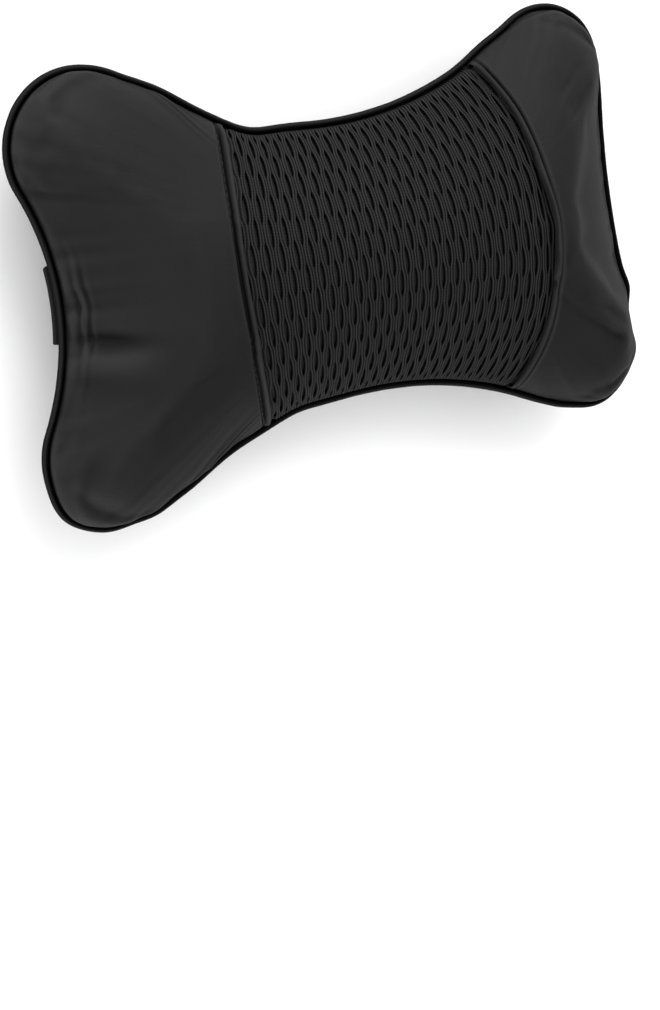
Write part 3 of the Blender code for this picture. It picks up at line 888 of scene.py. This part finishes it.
def seam_stitches(side, material, moves):
    """A row of sunk stitches along the folded edge."""
    low, high = (seam_end(side, height, PANEL_INSET)[1] for height in (-1, 1))
    levels = np.linspace(low, high, 1200)
    lines = [np.column_stack([seam_x(levels, side, PANEL_INSET, CLEARANCE + STITCH_LINE + aside), levels])
             for aside in (-0.0005, 0.0, 0.0005)]
    strip = skin_points(np.array(lines), FRONT)
    normal = grid_normal(strip, FRONT)[1]
    inside = depth_inside(lines[1], PANEL_BORDER)
    row = np.interp(levels, spread_levels(levels[0], levels[-1])[::CLOTH_STEP], np.arange(moves.shape[1]))
    follow = between(moves, np.full(len(row), moves.shape[0] - 2.0), row) * rise(inside, MOVE_EASE)[:, None]
    middle = strip[1] + normal * edge_roll(lines[1], inside)[:, None] + follow
    run = length_along(middle)
    grids = []
    sides = np.linspace(0.0, math.tau, 9)[:-1]
    shares = np.linspace(0.0, 1.0, 7)
    bow = np.sin(math.pi * shares)
    for start in np.arange(0.004, run[-1] - 0.006, STITCH_PITCH):
        spots = start + shares * STITCH_LENGTH
        at, up = (np.column_stack([np.interp(spots, run, line[:, k]) for k in range(3)])
                  for line in (middle, normal))
        at = at + up * (STITCH_BOW * bow - GROOVE_DEPTH + STITCH_RADIUS)[:, None]
        along = (at[-1] - at[0]) / np.linalg.norm(at[-1] - at[0])
        across = np.cross(along, up)
        radius = STITCH_RADIUS * (0.35 + 0.65 * bow ** 0.5)
        ring = np.cos(sides)[None, :, None] * across[:, None] + np.sin(sides)[None, :, None] * up[:, None]
        points = at[:, None] + ring * radius[:, None, None]
        grids.append((points, np.stack(np.meshgrid(sides / math.tau, shares * 3.0), axis=-1)))
    name = "left_seam_stitches" if side == LEFT else "right_seam_stitches"
    return mesh_piece(name, grids, material, [], closed=True)


# Woven middle

def gap_half_width(column, v):
    """Half the opening of a column at height share v: a lens in every second row."""
    if column < 0 or column >= GAP_COLUMNS:
        return np.zeros_like(v)
    rows_off = (v * GAP_ROWS + column % 2) % 2.0 - 1.0
    lens = np.clip(1.0 - (2.0 * rows_off / GAP_LENGTH_IN_ROWS) ** 2, 0.0, None)
    ends = np.clip(np.minimum(v, 1.0 - v) * GAP_ROWS * 3.0 - 0.4, 0.0, 1.0)
    return GAP_WIDTH / 2 / PANEL_WIDTH * lens ** 0.7 * ends


def under_leather(plan):
    """How far the middle drops, from its full height down to where it is sewn under the leather."""
    x, y = plan[..., 0], plan[..., 1]
    from_edge = np.minimum(x - seam_x(y, LEFT, PANEL_INSET), seam_x(y, RIGHT, PANEL_INSET) - x)
    share = np.clip(from_edge / TUCK_WIDTH, 0.0, 1.0)
    return TUCK_DEPTH * (1.0 - share * share * (3.0 - 2.0 * share))


def crowded(share, amount):
    """Brings rows closer together towards both edges, where the surface turns down."""
    return share + ((1 - np.cos(math.pi * share)) / 2 - share) * amount


def woven_middle(material, moves):
    """Wavy ridged strands that lie against their neighbours by turns and leave lens-shaped gaps."""
    even = np.linspace(0.0, 1.0, GAP_ROWS * STATIONS_PER_ROW + 1)
    v = crowded(even, ROW_CROWDING)
    pitch = 1.0 / (GAP_COLUMNS + 1)
    across, crown = np.array(STRAND_PLACES), np.array(STRAND_CROWN)
    grids = []
    for strand in range(GAP_COLUMNS + 1):
        left = strand * pitch + gap_half_width(strand - 1, even)
        right = (strand + 1) * pitch - gap_half_width(strand, even)
        u = left[:, None] + (right - left)[:, None] * across
        height = np.broadcast_to(v[:, None], u.shape)
        plan = centre_plan(u, height, PANEL_INSET, TUCK_REACH)
        inside = depth_inside(plan, PANEL_BORDER)
        skin = skin_points(plan, FRONT)
        drop = STRAND_RIDGE * (1.0 - crown)[None] * rise(inside, EDGE_EASE) + under_leather(plan)
        points = skin + grid_normal(skin, FRONT) * (edge_roll(plan, inside) - drop)[..., None]
        points += middle_moves(moves, u, height, inside)
        run = length_along(points[:, 3])
        uv = np.stack(np.broadcast_arrays(across[None] * pitch * PANEL_WIDTH, run[:, None]), axis=-1)
        grids.append((points, uv))
    piece = mesh_piece("woven_middle", grids, material, ["front_centre_mesh"])
    weld(piece, FRONT)
    thicken(piece, MESH_THICKNESS / 2)
    return piece


def middle_lining(material, moves):
    """Black cloth close behind the weave, out to the seams."""
    u, v = np.meshgrid(np.linspace(0.0, 1.0, 81), crowded(np.linspace(0.0, 1.0, 81), 0.6), indexing="ij")
    plan = centre_plan(u, v, PANEL_INSET, TUCK_REACH)
    skin = skin_points(plan, FRONT)
    inside = depth_inside(plan, PANEL_BORDER)
    below = MESH_THICKNESS / 2 + STRAND_RIDGE + CLEARANCE + under_leather(plan) - edge_roll(plan, inside)
    points = skin - grid_normal(skin, FRONT) * below[..., None] + middle_moves(moves, u, v, inside)
    points[..., 2] = np.maximum(points[..., 2], CLEARANCE)
    uv = np.stack([u * PANEL_WIDTH, v * PILLOW_HEIGHT], axis=-1)
    piece = mesh_piece("middle_lining", [(points, uv)], material, ["centre_lining"])
    weld(piece, FRONT)
    thicken(piece, LINING_THICKNESS)
    return piece


# Back

def leather_back(material):
    """One leather-look back: full at its edge, flat where it rests, sunk under the strap."""
    plans = [cap_plan(LEFT, PANEL_INSET, BACK_RINGS), cap_plan(RIGHT, PANEL_INSET, BACK_RINGS),
             centre_band_plan(PANEL_INSET, CENTRE_COLUMNS)]
    grids = []
    for plan in plans:
        inside = depth_inside(plan, PANEL_BORDER)
        skin = skin_points(plan, BACK)
        off_rest = np.clip((rest_limit(plan[..., 1]) + skin[..., 2]) / REST_FADE, 0.0, 1.0)
        off_strap = 1.0 - swell(plan[..., 1] - STRAP_Y, STRAP_WIDTH * 0.75)
        angle = np.arctan2(plan[..., 1], plan[..., 0] * 0.62)
        fade = rise(inside, PUCKER_EASE) * np.exp(-inside / BACK_PUCKER_REACH)
        wave = wavering(angle, 0.05, 31) + 0.6 * wavering(angle, 0.024, 32)
        relief = BACK_PUCKER_HEIGHT * fade * wave * off_strap
        relief += soft_unevenness(plan, 33) * rise(inside, SWELL_EASE) * off_strap
        relief += BACK_ROLL_SHARE * edge_roll(plan, inside) * off_strap
        points = skin + slope_normal(plan, BACK) * (relief * off_rest)[..., None]
        grids.append((points, plan.copy()))
    piece = mesh_piece("leather_back", grids, material, ["back_panel"])
    weld(piece, BACK)
    thicken(piece, LEATHER_THICKNESS)
    return piece


# Piping

def swept(path, section):
    """Rings of a section, given as outward and upward offsets, along a closed flat path."""
    step = np.roll(path, -1, axis=0) - np.roll(path, 1, axis=0)
    along = step / np.linalg.norm(step, axis=1)[:, None]
    out = np.column_stack([along[:, 1], -along[:, 0], np.zeros(len(path))])
    centre = np.column_stack([path, np.zeros(len(path))])
    rings = centre[:, None] + section[..., :1] * out[:, None] + section[..., 1:] * np.array([0.0, 0.0, 1.0])
    return np.concatenate([rings, rings[:1]])


def piping_welt(material):
    """The corded edge: a round welt with an uneven, wrinkled cover, and the tape that is sewn in."""
    path = outline(PIPING_RADIUS)
    run = length_along(path)
    sides = 16
    angle = np.arange(sides) / sides * math.tau
    uneven = 1.0 + 0.03 * wavering(run, 0.011, 51) + 0.02 * wavering(run, 0.0035, 52)
    wrinkles = 0.02 * wavering(run[:, None] + 0.004 * np.sin(angle)[None], 0.0021, 53)
    radii = np.minimum(PIPING_RADIUS * (uneven[:, None] + wrinkles), PIPING_RADIUS * 1.02)
    welt = swept(path, radii[..., None] * np.stack([np.cos(angle), np.sin(angle)], axis=-1)[None])
    corners = [(-FLANGE_START, FLANGE_HALF), (-FLANGE_REACH, FLANGE_HALF),
               (-FLANGE_REACH, -FLANGE_HALF), (-FLANGE_START, -FLANGE_HALF)]
    flange = swept(path, np.array([corners]))
    run = np.append(run, run[-1] + FINE_STEP)
    grids = []
    for points in (welt, flange):
        round_way = np.linspace(0.0, 0.01, points.shape[1])
        grids.append((points, np.stack(np.broadcast_arrays(run[:, None], round_way), axis=-1)))
    piece = mesh_piece("piping_welt", grids, material, ["edge_piping"], closed=True)
    weld(piece, FRONT)
    return piece


# Strap

def strap_loop(y, side, start, outwards):
    """The strap's inner face from a point on the back, out past the piping and in under it."""
    border = end_x(y, side, PANEL_INSET)
    seam = np.array([border + side * 2 * CLEARANCE, y, -(PIPING_RADIUS + CLEARANCE + STRAP_THICKNESS)])
    far = seam + np.array([side * STRAP_LOOP_REACH, 0.0, 0.0])
    near = start + outwards * STRAP_LOOP_INSET
    shares = (np.arange(1, 25) / 24)[:, None]
    return sum(math.comb(3, k) * (1 - shares) ** (3 - k) * shares ** k * corner
               for k, corner in enumerate((start, near, far, seam)))


def strap_webbing(material):
    """Flat ribbed elastic, looped out of each end seam and pressed flush into the back."""
    shares = np.linspace(0.0, 1.0, STRAP_RIBS * 6 + 1)
    levels = STRAP_Y + (shares - 0.5) * STRAP_WIDTH
    ends = [end_x(levels, side, PANEL_INSET) - side * STRAP_LOOP_INSET for side in (LEFT, RIGHT)]
    along = np.linspace(0.0, 1.0, 181)
    x = ends[0][:, None] * (1 - along) + ends[1][:, None] * along
    plan = np.dstack([x, np.broadcast_to(levels[:, None], x.shape)])
    skin = np.dstack([plan, -skin_height(plan, BACK)])
    across = skin + grid_normal(skin, BACK) * CLEARANCE
    rows = []
    for y, row in zip(levels, across):
        left_out, right_out = (step / np.linalg.norm(step) for step in (row[0] - row[1], row[-1] - row[-2]))
        rows.append(np.concatenate([strap_loop(y, LEFT, row[0], left_out)[::-1], row,
                                    strap_loop(y, RIGHT, row[-1], right_out)]))
    points = np.array(rows)
    run = length_along(points[0])
    uv = np.stack(np.broadcast_arrays((shares * STRAP_WIDTH)[:, None], run[None]), axis=-1)
    piece = mesh_piece("strap_webbing", [(points, uv)], material, ["elastic_strap"])
    weld(piece, BACK)
    thicken(piece, STRAP_THICKNESS, outwards=True)
    return piece


# Stuffing

def fibre_insert(material):
    """The stuffed inner bag, a little lumpy, hidden under the cover."""
    inset = PANEL_INSET + BAG_INSET
    grids = []
    for face in (FRONT, BACK):
        for plan in (cap_plan(LEFT, inset, 20), cap_plan(RIGHT, inset, 20), centre_band_plan(inset, 24)):
            lumps = 0.0005 * np.sin(plan[..., 0] * 300) * np.sin(plan[..., 1] * 260)
            height = np.maximum(skin_height(plan, face) - STUFFING_DEPTH - lumps, 0.0)
            grids.append((np.dstack([plan, face * height]), plan.copy()))
    piece = mesh_piece("fibre_insert", grids, material, ["inner_cushion"])
    weld(piece, FRONT)
    return piece


# Stage

def camera_axes():
    """Right, up and back of the camera, turned from the pillow's own axes."""
    az, el, roll = CAMERA_AZIMUTH, CAMERA_ELEVATION, CAMERA_ROLL
    back = Vector((-math.sin(az) * math.cos(el), math.sin(el), math.cos(az) * math.cos(el)))
    level = Vector((math.cos(az), 0.0, math.sin(az)))
    upright = back.cross(level)
    right = level * math.cos(roll) - upright * math.sin(roll)
    return right, level * math.sin(roll) + upright * math.cos(roll), back


def make_camera():
    """The photograph's viewing angle, with the pillow in the upper half of a tall frame."""
    right, up, back = camera_axes()
    data = bpy.data.cameras.new("camera")
    data.lens = CAMERA_LENS
    data.sensor_width = 36.0
    camera = add_object("camera", data)
    place = back * CAMERA_DISTANCE - right * CAMERA_SHIFT_RIGHT - up * CAMERA_SHIFT_UP
    turn = Matrix((right, up, back)).transposed().to_4x4()
    camera.matrix_world = Matrix.Translation(place + Vector((0.0, 0.0, REST_DEPTH))) @ turn
    bpy.context.scene.camera = camera


def soft_light(name, place, target, size, power):
    data = bpy.data.lights.new(name, "AREA")
    data.shape = "DISK"
    data.size = size
    data.energy = power
    light = add_object(name, data)
    light.location = place
    light.rotation_euler = (Vector(target) - Vector(place)).to_track_quat("-Z", "Y").to_euler()


def make_stage():
    bpy.ops.mesh.primitive_plane_add(size=8.0, location=(0.0, 0.0, 0.0))
    floor = bpy.context.active_object
    floor.name = "floor"
    floor.data.materials.append(floor_material())
    world = bpy.data.worlds.new("studio")
    world.use_nodes = True
    tree = world.node_tree
    background = tree.nodes["Background"]
    background.inputs["Color"].default_value = (1.0, 1.0, 1.0, 1.0)
    towards = tree.nodes.new("ShaderNodeVectorMath")
    towards.operation = "DOT_PRODUCT"
    towards.inputs[1].default_value = BRIGHT_SIDE
    around = tree.nodes.new("ShaderNodeMapRange")
    for key, value in (("From Min", -1.0), ("To Min", WORLD_DIM), ("To Max", WORLD_BRIGHT)):
        around.inputs[key].default_value = value
    tree.links.new(tree.nodes.new("ShaderNodeTexCoord").outputs["Generated"], towards.inputs[0])
    tree.links.new(towards.outputs["Value"], around.inputs["Value"])
    tree.links.new(around.outputs["Result"], background.inputs["Strength"])
    bpy.context.scene.world = world
    soft_light("key_light", (0.2, 1.25, 1.2), (0.0, 0.0, 0.02), size=1.4, power=16.0)
    soft_light("low_light", (-0.3, -1.3, 0.28), (0.0, -0.1, 0.0), size=0.8, power=9.0)
    bpy.context.scene.view_settings.view_transform = "Standard"


def dress():
    leather = leather_material("black_leather", (0.0062, 0.0062, 0.0064), (0.0092, 0.0092, 0.0094), 0.5, 0.6)
    yarn_with_painted_ridge_light, thread = woven_material(), thread_material()
    lining = cloth_material("black_lining_cloth", (0.003, 0.003, 0.003), (0.006, 0.006, 0.006), 900.0)
    bag = cloth_material("white_bag_cloth", (0.68, 0.68, 0.66), (0.80, 0.80, 0.78), 700.0)
    left_moves, centre_moves, right_moves = simulate_cover()
    centre_moves = even_rows(centre_moves)
    left = leather_end("left_leather_end", LEFT, leather, "front_left_panel", 11, left_moves)
    right = leather_end("right_leather_end", RIGHT, leather, "front_right_panel", 21, right_moves)
    middle = woven_middle(yarn_with_painted_ridge_light, centre_moves)
    middle_lining(lining, centre_moves)
    back = leather_back(leather)
    piping_welt(piping_material())
    strap_webbing(elastic_material())
    insert = fibre_insert(bag)
    seam_stitches(LEFT, thread, left_moves)
    seam_stitches(RIGHT, thread, right_moves)


make_camera()
make_stage()
dress()
